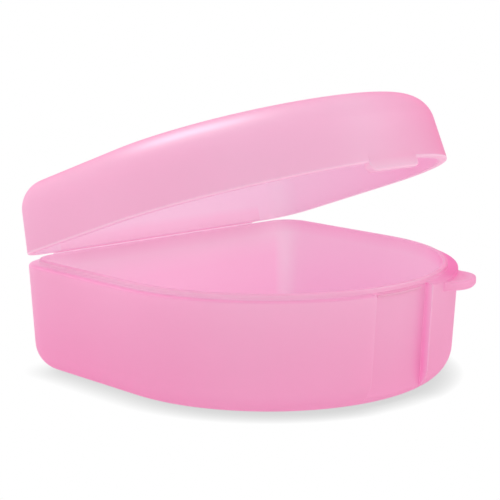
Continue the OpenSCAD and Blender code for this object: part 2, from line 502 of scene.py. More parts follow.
@dataclass
class FingerEar:
    """The rounded tongue beside the latch, moulded with the tray's wall, with a shallow dish in its top."""

    radius: float
    arc_y: float
    shoulder_z: float
    angle: float = 28.5
    width: float = 13.6 * MM
    out: float = 4.2 * MM
    thick: float = 1.8 * MM
    corner: float = 6.0 * MM
    drop: float = 0.6 * MM
    soft: float = 0.6 * MM
    crisp: float = 0.35 * MM
    dish: float = 0.3 * MM
    border: float = 0.7 * MM
    fall: float = 2.2 * MM
    rounding_room: float = 0.8
    # Painted light and shade: the top is paler and the side and underside deeper, as light falls from
    # above.
    painted_light_top: float = 0.40
    painted_shade_side: float = 0.64
    corner_steps: int = 10
    under_steps: int = 2
    edge_steps: int = 5
    top_steps: int = 8

    @property
    def high(self) -> float:
        """Height of its top."""
        return self.shoulder_z - self.drop

    @property
    def low(self) -> float:
        """Height of its underside."""
        return self.high - self.thick

    @property
    def centre(self) -> tuple[float, float]:
        """How far out and how far aside the centres of its round corners lie."""
        return self.radius + self.out - self.corner, self.width / 2 - self.corner

    def outline(self, inset: float | np.ndarray) -> np.ndarray:
        """Its outline drawn in, from where it leaves the wall to where it meets it again.

        Args:
            inset: How far it is drawn in, all round or at each point.

        Returns:
            Pairs of how far out and how far aside.
        """
        out, aside = self.centre
        away = math.hypot(out, aside)
        meet = (self.radius ** 2 - away ** 2 - self.corner ** 2) / (2 * away * self.corner)
        end = math.degrees(math.acos(meet) + math.atan2(aside, out))
        half = degrees_between(0.0, end, self.corner_steps)
        turn = np.concatenate([-half[::-1], half])
        side = np.repeat([-aside, aside], len(half))
        reach = self.corner - inset
        return np.stack([out + reach * np.cos(turn), side + reach * np.sin(turn)], 1)

    def wall_angles(self) -> np.ndarray:
        """Angles on the round front of the wall's points behind the outline, in degrees."""
        return self.angle + np.degrees(np.arcsin(self.outline(0.0)[:, 1] / self.radius))

    def rows(self) -> list[EarRow]:
        """Rings from the wall out along the underside, up the rounded side and back over the dished top.

        Returns:
            The rings, from the lowest.
        """
        rows = [EarRow(self.low, float(share), self.soft)
                for share in np.linspace(0.0, 1.0, self.under_steps + 1)]
        for angle in degrees_between(-90.0, 0.0, self.edge_steps)[1:]:
            rows.append(EarRow(self.low + self.soft * (1 + math.sin(angle)), 1.0,
                               self.soft * (1 - math.cos(angle))))
        for angle in degrees_between(0.0, 90.0, self.edge_steps):
            rows.append(EarRow(self.high - self.crisp * (1 - math.sin(angle)), 1.0,
                               self.crisp * (1 - math.cos(angle))))
        for share in np.linspace(1.0, 0.0, self.top_steps + 1)[1:]:
            rows.append(EarRow(self.high, float(share), self.crisp, True))
        return rows

    def tint(self, row: EarRow) -> float:
        """Tint of a ring: paler on top as painted light, deeper on side and underside as painted shade."""
        return self.painted_light_top if row.dished else self.painted_shade_side

    def pushed(self, wall: np.ndarray, row: EarRow) -> np.ndarray:
        """Points of the wall moved out to the ear.

        Args:
            wall: The wall's points behind the ear.
            row: The ring that they belong to.

        Returns:
            The moved points.
        """
        lean = math.radians(self.angle)
        outward = np.array([math.sin(lean), -math.cos(lean)])
        across = np.array([math.cos(lean), math.sin(lean)])
        middle = np.array([0.0, self.arc_y])
        out = (wall[:, :2] - middle) @ outward
        aside = (wall[:, :2] - middle) @ across
        room = np.maximum(self.outline(0.0)[:, 0] - out, 0.0)
        ear = self.outline(np.minimum(row.inset, self.rounding_room * room))
        out = out + row.share * np.maximum(ear[:, 0] - out, 0.0)
        aside = aside + row.share * (ear[:, 1] - aside)
        height = np.full(len(wall), row.height)
        if row.dished:
            past_out = np.maximum(out - self.centre[0], 0.0)
            past_aside = np.maximum(np.abs(aside) - self.centre[1], 0.0)
            from_edge = self.corner - np.hypot(past_out, past_aside)
            height = height - self.dish * eased((from_edge - self.border) / self.fall)
        plan = middle + out[:, None] * outward + aside[:, None] * across
        return np.column_stack([plan, height])


@dataclass(frozen=True)
class TrayTints:
    """How deep the tray's tint is, place by place. Angles are degrees from the front's middle."""

    wall: float = 0.45
    foot: float = 0.28
    flank: float = 0.10
    # Painted light: the back's outer wall and lip are paler, so the hollow's back looks lit where the lid
    # shades it.
    painted_light_back: float = 0.5
    # Painted light: the shoulder's groove is paler than the wall, against its shade.
    painted_light_groove: float = 0.20
    latch: float = 0.30
    latch_spread: float = 20.0
    lip: float = 0.34
    # Painted shade: the rim is deeper behind the ear, on the right of the front only.
    rim: float = 1.0
    rim_shade_angle: float = 42.0
    rim_shade_spread: float = 18.0
    rim_shade_depth: float = 1.2 * MM
    inner: float = 0.06
    inner_back: float = 0.58
    # Painted light: the hollow's back wall is pale at its top, where the lid shades it, fading over this
    # depth.
    painted_light_depth: float = 6.0 * MM
    floor: float = 0.45
    # Painted shade down the recess's sides, and a painted highlight along their outer edges.
    step: float = 0.29
    recess_edge_highlight: float = 0.17
    recess_edge_highlight_to: float = 0.2


@dataclass
class BaseTray:
    """The deep tray and its ear: rounded foot, leaning wall with the latch recess, shoulder and hollow."""

    plan: CasePlan
    ear: FingerEar
    height: float
    mouth: float
    shoulder: float
    recess: Recess = field(default_factory=Recess)
    tints: TrayTints = TrayTints()
    lip: float = 1.1 * MM
    lean: float = 3.4
    foot_radius: float = 6.5 * MM
    floor: float = 2.0 * MM
    hollow_lean: float = 1.5
    hollow_radius: float = 3.5 * MM
    edge: float = 0.45 * MM
    lip_edge: float = 0.3 * MM
    support: float = 0.15 * MM
    flat: float = 0.3 * MM
    lip_foot: float = 0.2 * MM
    recess_top: float = 0.9
    foot_steps: int = 14
    wall_steps: int = 6
    edge_steps: int = 6
    lip_foot_steps: int = 4
    lip_steps: int = 5
    hollow_steps: int = 7
    floor_steps: int = 12

    def recess_radius(self, height: float) -> float:
        """Radius of the recess's floor at a height."""
        return self.plan.radius - self.recess.depth - (self.height - height) * lean_of(self.lean)[0]

    def outside(self) -> list[tuple[float, float, EarRow | None]]:
        """Section of the outer wall from the foot to the shoulder's rounded edge, with the ear's rings.

        Returns:
            Inset, height and ear ring, if any, of each ring.
        """
        slope, hug = lean_of(self.lean)
        foot = ((self.height - self.foot_radius) * slope + self.foot_radius * hug, self.foot_radius)
        top = (self.edge * slope + self.edge * hug, self.height - self.edge)
        rows = [(foot[0] + self.flat, 0.0)]
        rows += round_profile(foot, self.foot_radius, -90.0, -self.lean, self.foot_steps)
        for height in np.linspace(rows[-1][1], self.ear.low, self.wall_steps + 1)[1:-1]:
            rows.append(((self.height - height) * slope, float(height)))
        section = [(inset, height, None) for inset, height in rows]
        section += [((self.height - row.height) * slope, row.height, row) for row in self.ear.rows()]
        edge = round_profile(top, self.edge, -self.lean, 90.0, self.edge_steps)
        return section + [(inset, height, None) for inset, height in edge]

    def inside(self) -> list[tuple[float, float]]:
        """Section from the shoulder, over the lip and down the hollow to the floor.

        Returns:
            Inset and height of each ring.
        """
        slope, hug = lean_of(self.hollow_lean)
        mouth_inset = self.shoulder + self.lip
        foot = (self.shoulder - self.lip_foot, self.height + self.lip_foot)
        rows = round_profile(foot, self.lip_foot, -90.0, -180.0, self.lip_foot_steps)
        lip_z = self.mouth - self.lip_edge
        outer = (self.shoulder + self.lip_edge, lip_z)
        inner = (mouth_inset - self.lip_edge, lip_z)
        rows += round_profile(outer, self.lip_edge, 0.0, 90.0, self.lip_steps)
        rows += round_profile(inner, self.lip_edge, 90.0, 180.0, self.lip_steps)
        centre_z = self.floor + self.hollow_radius
        centre = (mouth_inset + (self.mouth - centre_z) * slope + self.hollow_radius * hug, centre_z)
        touch = centre_z - self.hollow_radius * math.sin(math.radians(self.hollow_lean))
        for height in np.linspace(lip_z - self.support, touch + self.support, self.hollow_steps + 1):
            rows.append((mouth_inset + (self.mouth - height) * slope, float(height)))
        rows += round_profile(centre, self.hollow_radius, -self.hollow_lean, -90.0, self.floor_steps)
        rows.append((centre[0] + self.flat, self.floor))
        return rows

    def build(self) -> Object:
        """Builds the tray, its lip and its ear as one closed skin. Its shoulder and rounded edge are edges.

        Returns:
            The new object.
        """
        cut_x, plain_x, share = self.recess.stations()
        # Painted shade on the recess's sides and a painted highlight at their outer edges.
        recess_shade_and_highlight = self.tints.step * share - self.tints.recess_edge_highlight * (share < self.tints.recess_edge_highlight_to)
        recess_shade_and_highlight[(share == 0.0) | (share == 1.0)] = 0.0
        crisp = self.recess_top * (self.shoulder - self.lip_foot - self.recess.depth)
        ear_start = len(cut_x) + self.plan.before_steps
        behind_ear = slice(ear_start, ear_start + len(self.plan.ear_angles))
        rings = []
        depths = []
        edges = []
        for inset, height, row in self.outside():
            over = max(0.0, (height - self.height + self.edge) / self.edge)
            rounding = crisp * (1 - math.sqrt(1 - over * over))
            cut = max(0.0, self.plan.radius - self.recess_radius(height) + rounding - inset)
            ring = mirrored(lifted(self.plan.half(inset, cut_x, inset + share * cut), height))
            deep = self.outer_tint(ring, height)
            side = recess_shade_and_highlight * min(1.0, cut / self.recess.depth)
            deep[:len(side)] += side
            # The ring's end mirrors its start, without the point on the middle.
            deep[1 - len(side):] += side[:0:-1]
            if row is not None:
                ring[behind_ear] = self.ear.pushed(ring[behind_ear], row)
                deep[behind_ear] += row.share * (self.ear.tint(row) - deep[behind_ear])
            rings.append(self.plan.strip.raised(ring, self.height - height))
            depths.append(deep)
            edges.append(over > 0.0)
        for inset, height in self.inside():
            ring = mirrored(lifted(self.plan.half(inset, plain_x), height))
            rings.append(ring)
            depths.append(self.hollow_tint(ring, inset, height))
            edges.append(inset < self.shoulder - self.lip_foot / 2)
        return loft("base_tray", rings, depths=depths, edges=edges)

    def rim_painted_shade(self, ring: np.ndarray) -> np.ndarray:
        """How much deeper the tint is round a ring of the rim, most behind the ear: painted shade."""
        return self.tints.rim * self.plan.beside_angle(ring, self.tints.rim_shade_angle, self.tints.rim_shade_spread)

    def outer_tint(self, ring: np.ndarray, height: float) -> np.ndarray:
        """How deep the tint is round a ring outside.

        It is deeper towards the foot and on the flanks, deeper at the rim behind the ear as painted shade,
        and paler at the back as painted light.

        Args:
            ring: Points.
            height: How high the ring is.

        Returns:
            One value for each point.
        """
        low = 1 - height / self.height
        rim = max(0.0, 1 - (self.height - height) / self.tints.rim_shade_depth)
        wall = self.tints.wall + self.tints.flank * self.plan.flank_share(ring)
        wall = wall * (1 - self.tints.painted_light_back * self.plan.back_share(ring))
        return wall + self.tints.foot * low + rim * self.rim_painted_shade(ring)

    def hollow_tint(self, ring: np.ndarray, inset: float, height: float) -> np.ndarray:
        """How deep the tint is round a ring of the shoulder, the lip or the hollow.

        It is pale on the hollow's sides, paler in its back corners as a painted highlight and high on its
        back wall as painted light, and deeper lower on that wall, on the floor and at the rim behind the
        ear as painted shade.

        Args:
            ring: Points.
            inset: How far in the ring is.
            height: How high it is.

        Returns:
            One value for each point.
        """
        back = self.plan.back_share(ring)
        if inset <= self.shoulder:
            latch = self.plan.beside_angle(ring, 0.0, self.tints.latch_spread)
            # Painted light: the groove is paler, against its shade.
            return self.tints.painted_light_groove + self.tints.latch * latch + self.rim_painted_shade(ring)
        if height > self.height:
            lip = self.tints.lip * (1 - self.tints.painted_light_back * back)
            return lip + self.rim_painted_shade(ring) * (inset < self.shoulder + self.lip / 2) / 2
        # Painted light: pale at the top of the back wall, where the lid shades it.
        down = min(1.0, (self.height - height) / self.tints.painted_light_depth)
        wall = self.tints.inner + (self.tints.inner_back * down - self.tints.inner) * back
        # Painted highlight: the hollow's back corners are paler.
        wall = wall * (1 - self.plan.corner_share(ring))
        up = min(1.0, (height - self.floor) / self.hollow_radius)
        return self.tints.floor + up * (wall - self.tints.floor)

    def finish(self) -> None:
        """Builds the tray and dresses it."""
        finish_piece(self.build(), [BASE_PINK, BASE_EDGE_PINK], Part.BASE,
                     "base_shell", "base_rim_lip", "finger_ear", "base_hinge_leaf")


@dataclass
class LatchTab:
    """The flared tab that hangs from the lid's rim over the recess, moulded with the lid's wall."""

    width: float = 13.0 * MM
    drop: float = 1.9 * MM
    rise: float = 5.5 * MM
    proud: float = 0.6 * MM
    inset: float = 1.5 * MM
    corner: float = 1.2 * MM
    edge: float = 0.3 * MM
    past: float = 0.06 * MM
    spread: float = 2.4 * MM
    soft_above: float = 1.5 * MM
    flat_steps: int = 10
    corner_steps: int = 9
    past_steps: int = 4
    back_steps: int = 2

    def stations(self) -> tuple[np.ndarray, np.ndarray, np.ndarray]:
        """Points across the right half of the tab and a little past it.

        Returns:
            Their places across the front, how far each hangs, and the share of its proudness that each has.
        """
        half = self.width / 2
        flat = np.linspace(0.0, half - self.corner, self.flat_steps + 1)
        turn = degrees_between(0.0, 90.0, self.corner_steps)[1:]
        round_x = half - self.corner * (1 - np.sin(turn))
        round_drop = self.drop - self.corner * (1 - np.cos(turn))
        past_x = half + self.past + np.linspace(0.0, self.spread, self.past_steps + 1)
        x = np.concatenate([flat, round_x, past_x])
        hang = np.concatenate([np.full(len(flat), self.drop), round_drop, np.zeros(len(past_x))])
        beside = np.clip((x - half + self.edge) / self.edge, 0.0, 1.0)
        return x, hang, np.sqrt(1 - beside * beside)

    def soft_side(self, across: np.ndarray) -> np.ndarray:
        """The share of its proudness at places across the front, where its side runs softly out."""
        return eased((self.width / 2 + self.spread - across) / (2 * self.spread))

    def stands_out(self, height: float | np.ndarray, slope: float) -> float | np.ndarray:
        """How far the tab's middle stands out from the lid's wall.

        Args:
            height: Height above the rim.
            slope: How fast the lid's wall draws in with height.

        Returns:
            The distance, or distances.
        """
        share = (self.rise - height) / (self.rise + self.drop)
        face = (self.proud + self.rise * slope) * share - self.rise * slope
        return np.maximum(0.0, face + np.maximum(height, 0.0) * slope)


class LidSkin(Enum):
    """The stretches of the lid's skin."""

    OUTSIDE = "outside"
    RIM = "rim"
    INSIDE = "inside"


@dataclass
class SkinRow:
    """One ring of the lid's skin: how far in and how high above the rim, also point by point at the tab."""

    skin: LidSkin
    inset: float
    height: float
    near_inset: np.ndarray
    near_height: np.ndarray
    tint: float = 0.0


@dataclass(frozen=True)
class LidTints:
    """How deep the lid's tint is, place by place. Angles are degrees from the front's middle."""

    wall: float = 0.33
    flank: float = 0.13
    # Painted shade: the top rounding grows deeper towards the flat top.
    top_edge_shade: float = 0.6
    top_edge_shade_power: int = 5
    # Painted shade: the front's right flank is deeper, on that side only.
    side: float = 0.85
    right_shade_angle: float = 52.0
    right_shade_spread: float = 35.0
    # Painted highlight: a pale band down the front, left of its middle.
    front_painted_highlight: float = 0.10
    front_highlight_angle: float = -8.0
    front_highlight_spread: float = 8.0
    inner: float = 0.08
    strip: float = 0.25
    back_rim: float = 0.6


@dataclass
class LidShell:
    """The shallow lid with its latch tab, drawn closed and turned open."""

    plan: CasePlan
    rim: float
    turn: Matrix
    tab: LatchTab = field(default_factory=LatchTab)
    tints: LidTints = LidTints()
    height: float = 14.8 * MM
    lean: float = 5.0
    top_radius: float = 6.3 * MM
    wall: float = 2.0 * MM
    top: float = 1.8 * MM
    edge: float = 0.3 * MM
    support: float = 0.15 * MM
    flat: float = 0.3 * MM
    top_steps: int = 14
    wall_steps: int = 17
    edge_steps: int = 5
    inner_steps: int = 5
    ceiling_steps: int = 12

    @property
    def slope(self) -> float:
        """How fast the wall draws in with height."""
        return lean_of(self.lean)[0]

    @property
    def hug(self) -> float:
        """How far in from the leaning wall the centre of a unit rounding lies."""
        return lean_of(self.lean)[1]

    def plain_row(self, skin: LidSkin, inset: float, height: float, tint: float) -> SkinRow:
        """A ring that runs straight past the tab."""
        count = len(self.tab.stations()[0])
        return SkinRow(skin, inset, height, np.full(count, inset), np.full(count, height), tint)

    def outer_rows(self) -> list[SkinRow]:
        """From the middle of the top down the outer wall to the rim's rounded edge.

        Returns:
            The rings, from the top.
        """
        outer_z = self.height - self.top_radius
        centre = (outer_z * self.slope + self.top_radius * self.hug, outer_z)
        rows = [self.plain_row(LidSkin.OUTSIDE, centre[0] + self.flat, self.height, self.tints.wall)]
        for inset, height in round_profile(centre, self.top_radius, 90.0, self.lean, self.top_steps):
            up = (height - outer_z) / self.top_radius
            # Painted shade along the top's edge.
            tint = self.tints.wall + self.tints.top_edge_shade * up ** self.tints.top_edge_shade_power
            rows.append(self.plain_row(LidSkin.OUTSIDE, inset, height, tint))
        across, _, crisp = self.tab.stations()
        start = rows[-1].height
        end = self.edge * (1 + math.sin(math.radians(self.lean))) + self.support
        for height in np.linspace(start, end, self.wall_steps + 1)[1:].tolist():
            inset = height * self.slope
            soft = min(1.0, height / self.tab.soft_above)
            share = crisp + soft * (self.tab.soft_side(across) - crisp)
            near_inset = inset - share * self.tab.stands_out(height, self.slope)
            rows.append(SkinRow(LidSkin.OUTSIDE, inset, height, near_inset, np.full(len(share), height),
                                self.tints.wall))
        return rows

    def rim_row(self, inset: float, height: float, near_inset: np.ndarray,
                near_height: np.ndarray) -> SkinRow:
        """A ring of the rim, which takes its own places at the tab where that hangs."""
        hangs = self.tab.stations()[1] > 0
        return SkinRow(LidSkin.RIM, inset, height, np.where(hangs, near_inset, inset),
                       np.where(hangs, near_height, height))

    def rim_rows(self) -> list[SkinRow]:
        """Round the rim, and where the tab hangs, down its face, round its foot and up its back.

        Returns:
            The rings, from outside in.
        """
        _, hang, share = self.tab.stations()
        rows = []
        centre_z = self.edge - hang
        face = np.maximum(centre_z, 0.0) * self.slope - share * self.tab.stands_out(centre_z, self.slope)
        for angle in degrees_between(self.lean, -90.0, self.edge_steps):
            aside = self.edge * (self.hug - math.cos(angle))
            lift = self.edge * (1 + math.sin(angle))
            inset = self.edge * self.slope + aside
            rows.append(SkinRow(LidSkin.RIM, inset, lift, face + aside, lift - hang))
        first = rows[-1].inset
        back = self.tab.inset
        turns = degrees_between(-90.0, -180.0, self.edge_steps)
        for index, angle in enumerate(turns):
            inset = first + (back - 2 * self.edge - first) * (index + 1) / len(turns)
            foot = back - self.edge * (1 + math.cos(angle))
            lift = self.edge * (1 + math.sin(angle)) - hang
            rows.append(self.rim_row(inset, 0.0, foot, lift))
        for part in np.linspace(0.0, 1.0, self.tab.back_steps + 1)[1:].tolist():
            inset = back - 2 * self.edge * (1 - part)
            rows.append(self.rim_row(inset, 0.0, back, (self.edge - hang) * (1 - part)))
        return rows

    def inner_rows(self) -> list[SkinRow]:
        """From the rim's inner edge up the inner wall to the middle of the ceiling.

        Returns:
            The rings, from the rim.
        """
        corner = (self.wall + self.edge * self.slope - self.edge * self.hug, self.edge)
        section = round_profile(corner, self.edge, -90.0, -180.0 + self.lean, self.edge_steps)
        hollow_radius = self.top_radius - self.wall
        ceiling = self.height - self.top
        centre_z = ceiling - hollow_radius
        centre = (self.wall + centre_z * self.slope + hollow_radius * self.hug, centre_z)
        start = section[-1][1] + self.support
        end = centre_z + hollow_radius * math.sin(math.radians(self.lean)) - self.support
        for height in np.linspace(start, end, self.inner_steps + 1).tolist():
            section.append((self.wall + height * self.slope, height))
        section += round_profile(centre, hollow_radius, self.lean, 90.0, self.ceiling_steps)
        section.append((centre[0] + self.flat, ceiling))
        return [self.plain_row(LidSkin.INSIDE, inset, height, self.tints.inner)
                for inset, height in section]

    def tint(self, row: SkinRow, ring: np.ndarray) -> np.ndarray:
        """How deep the tint is round a ring.

        Args:
            row: Where the ring is on the lid's skin.
            ring: Its points.

        Returns:
            One value for each point.
        """
        back = self.plan.back_share(ring)
        if row.skin is LidSkin.RIM:
            return self.tints.back_rim * back
        if row.skin is LidSkin.INSIDE:
            behind = self.plan.strip.share(ring) * back * (row.height < self.plan.strip.height)
            # Painted highlight: the inner back corners are paler.
            return row.tint * (1 - self.plan.corner_share(ring)) + self.tints.strip * behind
        # Painted shade on the front's right flank.
        side = self.plan.beside_angle(ring, self.tints.right_shade_angle, self.tints.right_shade_spread)
        # Painted highlight: a pale band down the front, left of its middle.
        front = self.plan.beside_angle(ring, self.tints.front_highlight_angle, self.tints.front_highlight_spread)
        flank = self.plan.flank_share(ring)
        return row.tint + self.tints.side * side + self.tints.flank * flank - self.tints.front_painted_highlight * front

    def build(self) -> Object:
        """Builds the lid as one closed skin, turned open. Its rim is an edge.

        Returns:
            The new object.
        """
        near_x = self.tab.stations()[0]
        rings = []
        depths = []
        rows = self.outer_rows() + self.rim_rows() + self.inner_rows()
        for row in rows:
            plan = self.plan.half(row.inset, near_x, row.near_inset)
            heights = np.full(len(plan), row.height)
            heights[:len(near_x)] = row.near_height
            ring = mirrored(np.column_stack([plan, heights + self.rim]))
            depths.append(self.tint(row, ring))
            if row.skin is not LidSkin.INSIDE and row.inset < self.tab.inset:
                ring = self.plan.strip.raised(ring, row.height)
            rings.append(ring)
        return loft("lid_shell_skin", rings, self.turn, depths, [row.skin is LidSkin.RIM for row in rows])

    def finish(self) -> None:
        """Builds the lid and dresses it."""
        # The rim's second plastic is painted light along the rim.
        finish_piece(self.build(), [LID_PINK, LID_RIM_LIGHT_PINK], Part.LID,
                     "lid_shell", "latch_tab", "lid_hinge_leaf")


@dataclass
class SweptBead:
    """A square bar with rounded edges, carried along a path by geometry nodes."""

    side: float = 0.5 * MM
    corner: float = 0.18 * MM
    corner_points: int = 5
    tree: NodeTree = field(init=False)
    sockets: dict[str, str] = field(init=False, default_factory=dict)

    def __post_init__(self) -> None:
        """Builds the node tree once, for every bead."""
        tree = bpy.data.node_groups.new("swept_bead", "GeometryNodeTree")
        self.tree = tree
        for name, kind in (("Path", "Geometry"), ("Bar Side", "Float"), ("Corner Radius", "Float"),
                           ("Plastic", "Material")):
            made = tree.interface.new_socket(name=name, in_out="INPUT", socket_type="NodeSocket" + kind)
            self.sockets[name] = made.identifier
        tree.interface.new_socket(name="Bead", in_out="OUTPUT", socket_type="NodeSocketGeometry")
        given = add_node(tree, "NodeGroupInput")
        path = add_node(tree, "GeometryNodeMeshToCurve")
        upright = add_node(tree, "GeometryNodeSetCurveNormal", mode="Z_UP")
        bar = add_node(tree, "GeometryNodeCurvePrimitiveQuadrilateral")
        rounded = add_node(tree, "GeometryNodeFilletCurve",
                           {"Count": self.corner_points, "Limit Radius": True}, mode="POLY")
        sweep = add_node(tree, "GeometryNodeCurveToMesh", {"Fill Caps": True})
        smooth = add_node(tree, "GeometryNodeSetShadeSmooth")
        real = add_node(tree, "GeometryNodeRealizeInstances")
        dressed = add_node(tree, "GeometryNodeSetMaterial")
        result = add_node(tree, "NodeGroupOutput")
        wire(tree, (given, "Path", path, "Mesh"), (path, "Curve", upright, "Curve"),
             (given, "Bar Side", bar, "Width"), (given, "Bar Side", bar, "Height"),
             (bar, "Curve", rounded, "Curve"), (given, "Corner Radius", rounded, "Radius"),
             (upright, "Curve", sweep, "Curve"), (rounded, "Curve", sweep, "Profile Curve"),
             (sweep, "Mesh", smooth, "Geometry"), (smooth, "Geometry", real, "Geometry"),
             (real, "Geometry", dressed, "Geometry"), (given, "Plastic", dressed, "Material"),
             (dressed, "Geometry", result, "Bead"))

    def build(self, name: str, path: np.ndarray, plastic: TranslucentPlastic, tint: float,
              turn: Matrix | None = None) -> Object:
        """Sweeps the bar along a path and keeps the result as a plain mesh.

        Args:
            name: Name of the piece.
            path: Points that the middle of the bar follows.
            plastic: Its plastic.
            tint: How deep the plastic's tint is, from 0 to 1.
            turn: Where the finished bead is moved to, if anywhere.

        Returns:
            The new object.
        """
        line = bpy.data.meshes.new(name + "_path")
        line.from_pydata(path.tolist(), [(i, i + 1) for i in range(len(path) - 1)], [])
        guide = add_object(name + "_guide", line)
        nodes = guide.modifiers.new("sweep", "NODES")
        nodes.node_group = self.tree
        for label, value in (("Bar Side", self.side), ("Corner Radius", self.corner),
                             ("Plastic", plastic.material())):
            nodes[self.sockets[label]] = value
        graph = bpy.context.evaluated_depsgraph_get()
        mesh = bpy.data.meshes.new_from_object(guide.evaluated_get(graph))
        guide.modifiers.remove(nodes)
        bpy.data.objects.remove(guide)
        mesh.name = name
        if turn is not None:
            mesh.transform(turn)
        shape = bmesh.new()
        shape.from_mesh(mesh)
        clean(shape)
        shape.to_mesh(mesh)
        shape.free()
        depth = mesh.attributes.new(TINT_DEPTH, "FLOAT", "POINT")
        depth.data.foreach_set("value", np.full(len(mesh.vertices), tint))
        return add_object(name, mesh)


@dataclass
class LatchSnap:
    """The ridge across the recess and the bead inside the tab that clicks under it."""

    plan: CasePlan
    bar: SweptBead
    reach: float = 0.2 * MM
    bead_lift: float = 0.3 * MM
    tint: float = 0.36
    steps: int = 24

    def ridge(self, name: str, radius: float, height: float, half_width: float,
              plastic: TranslucentPlastic, turn: Matrix | None = None) -> Object:
        """A rounded ridge along the half round front.

        Args:
            name: Name of the piece.
            radius: Radius of the middle of its bar.
            height: Height of the middle of its bar.
            half_width: Half of its width across the front.
            plastic: Its plastic.
            turn: Where the finished ridge is moved to, if anywhere.

        Returns:
            The new object.
        """
        half_angle = math.degrees(math.asin(half_width / radius))
        turns = degrees_between(-half_angle, half_angle, self.steps)
        path = np.stack([radius * np.sin(turns), self.plan.arc_y - radius * np.cos(turns)], 1)
        return self.bar.build(name, lifted(path, height), plastic, self.tint, turn)

    def finish_catch(self, tray: BaseTray) -> None:
        """Builds the ridge across the recess at the height of the frame's catch, and dresses it.

        Args:
            tray: The tray that it stands on.
        """
        low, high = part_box("latch_catch")
        height = (low.z + high.z) / 2
        radius = tray.recess_radius(height) + self.reach - self.bar.side / 2
        ridge = self.ridge("latch_catch_ridge", radius, height, high.x, BASE_PINK)
        finish_piece(ridge, [BASE_PINK], Part.BASE, "latch_catch")

    def finish_bead(self, lid: LidShell) -> None:
        """Builds the bead inside the tab and dresses it.

        Args:
            lid: The lid whose tab it stands on.
        """
        height = lid.rim - lid.tab.drop + self.bead_lift
        radius = self.plan.radius - lid.tab.inset - self.reach + self.bar.side / 2
        half_width = lid.tab.width / 2 - lid.tab.corner
        ridge = self.ridge("latch_bead_ridge", radius, height, half_width, LID_PINK, lid.turn)
        finish_piece(ridge, [LID_PINK], Part.LID, "latch_bead")


@dataclass
class LivingHinge:
    """The thin web that bends between the strips on the two back walls."""

    axis_y: float
    axis_z: float
    open_angle: float
    half_width: float
    web: float = 1.2 * MM
    web_thick: float = 0.35 * MM
    edge: float = 0.2 * MM
    buried: float = 0.3 * MM
    steps: int = 18

    def bend(self) -> tuple[np.ndarray, float, float]:
        """The web's arc at the open angle.

        Returns:
            Its centre, its radius and its sweep in degrees.
        """
        up = self.web / math.pi
        lean = math.radians(self.open_angle)
        base_root = np.array([self.axis_y - self.web / 2, self.axis_z - up])
        lid_root = np.array([self.axis_y - self.web / 2 * math.cos(lean) + up * math.sin(lean),
                             self.axis_z + self.web / 2 * math.sin(lean) + up * math.cos(lean)])
        sweep = 180.0 - self.open_angle
        radius = float(np.linalg.norm(lid_root - base_root)) / (2 * math.sin(math.radians(sweep / 2)))
        return base_root + np.array([0.0, radius]), radius, sweep

    def web_strip(self) -> Object:
        """Builds the web as one closed skin, its two ends buried in the strips.

        Returns:
            The new object.
        """
        centre, radius, sweep = self.bend()
        half = self.web_thick / 2
        end = self.half_width - self.edge
        cross = [(-end, -half), (end, -half), (self.half_width, 0.0), (end, half), (-end, half),
                 (-self.half_width, 0.0)]
        angles = degrees_between(-90.0, sweep - 90.0, self.steps)
        stations = [(angles[0], -self.buried)]
        stations += [(angle, 0.0) for angle in angles]
        stations += [(angles[-1], self.buried)]
        rings = []
        for angle, shift in stations:
            way = np.array([math.cos(angle), math.sin(angle)])
            along = np.array([-math.sin(angle), math.cos(angle)])
            ring = [(x, *(centre + way * (radius + depth) + along * shift)) for x, depth in cross]
            rings.append(np.array(ring))
        return loft("hinge_web_strip", rings)

    def finish(self) -> None:
        """Builds the web at the open angle and dresses it."""
        web = self.web_strip()
        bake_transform(web)
        finish_piece(web, [HINGE_PINK], Part.BOTH, "hinge_web")


@dataclass(frozen=True)
class Softbox:
    """A soft lamp: its place, its level and upright sides, and how bright its face is beside white."""

    name: str
    place: tuple[float, float, float]
    wide: float
    high: float
    bright: float

    def build(self, target: Vector) -> None:
        """Stands the lamp in the scene.

        Args:
            target: The place that it faces.
        """
        data = bpy.data.lights.new(self.name, "AREA")
        data.shape = "RECTANGLE"
        data.size = self.wide
        data.size_y = self.high
        data.energy = self.bright * math.pi * self.wide * self.high
        lamp = add_object(self.name, data)
        lamp.location = self.place
        lamp.rotation_euler = (target - Vector(self.place)).to_track_quat("-Z", "Y").to_euler()


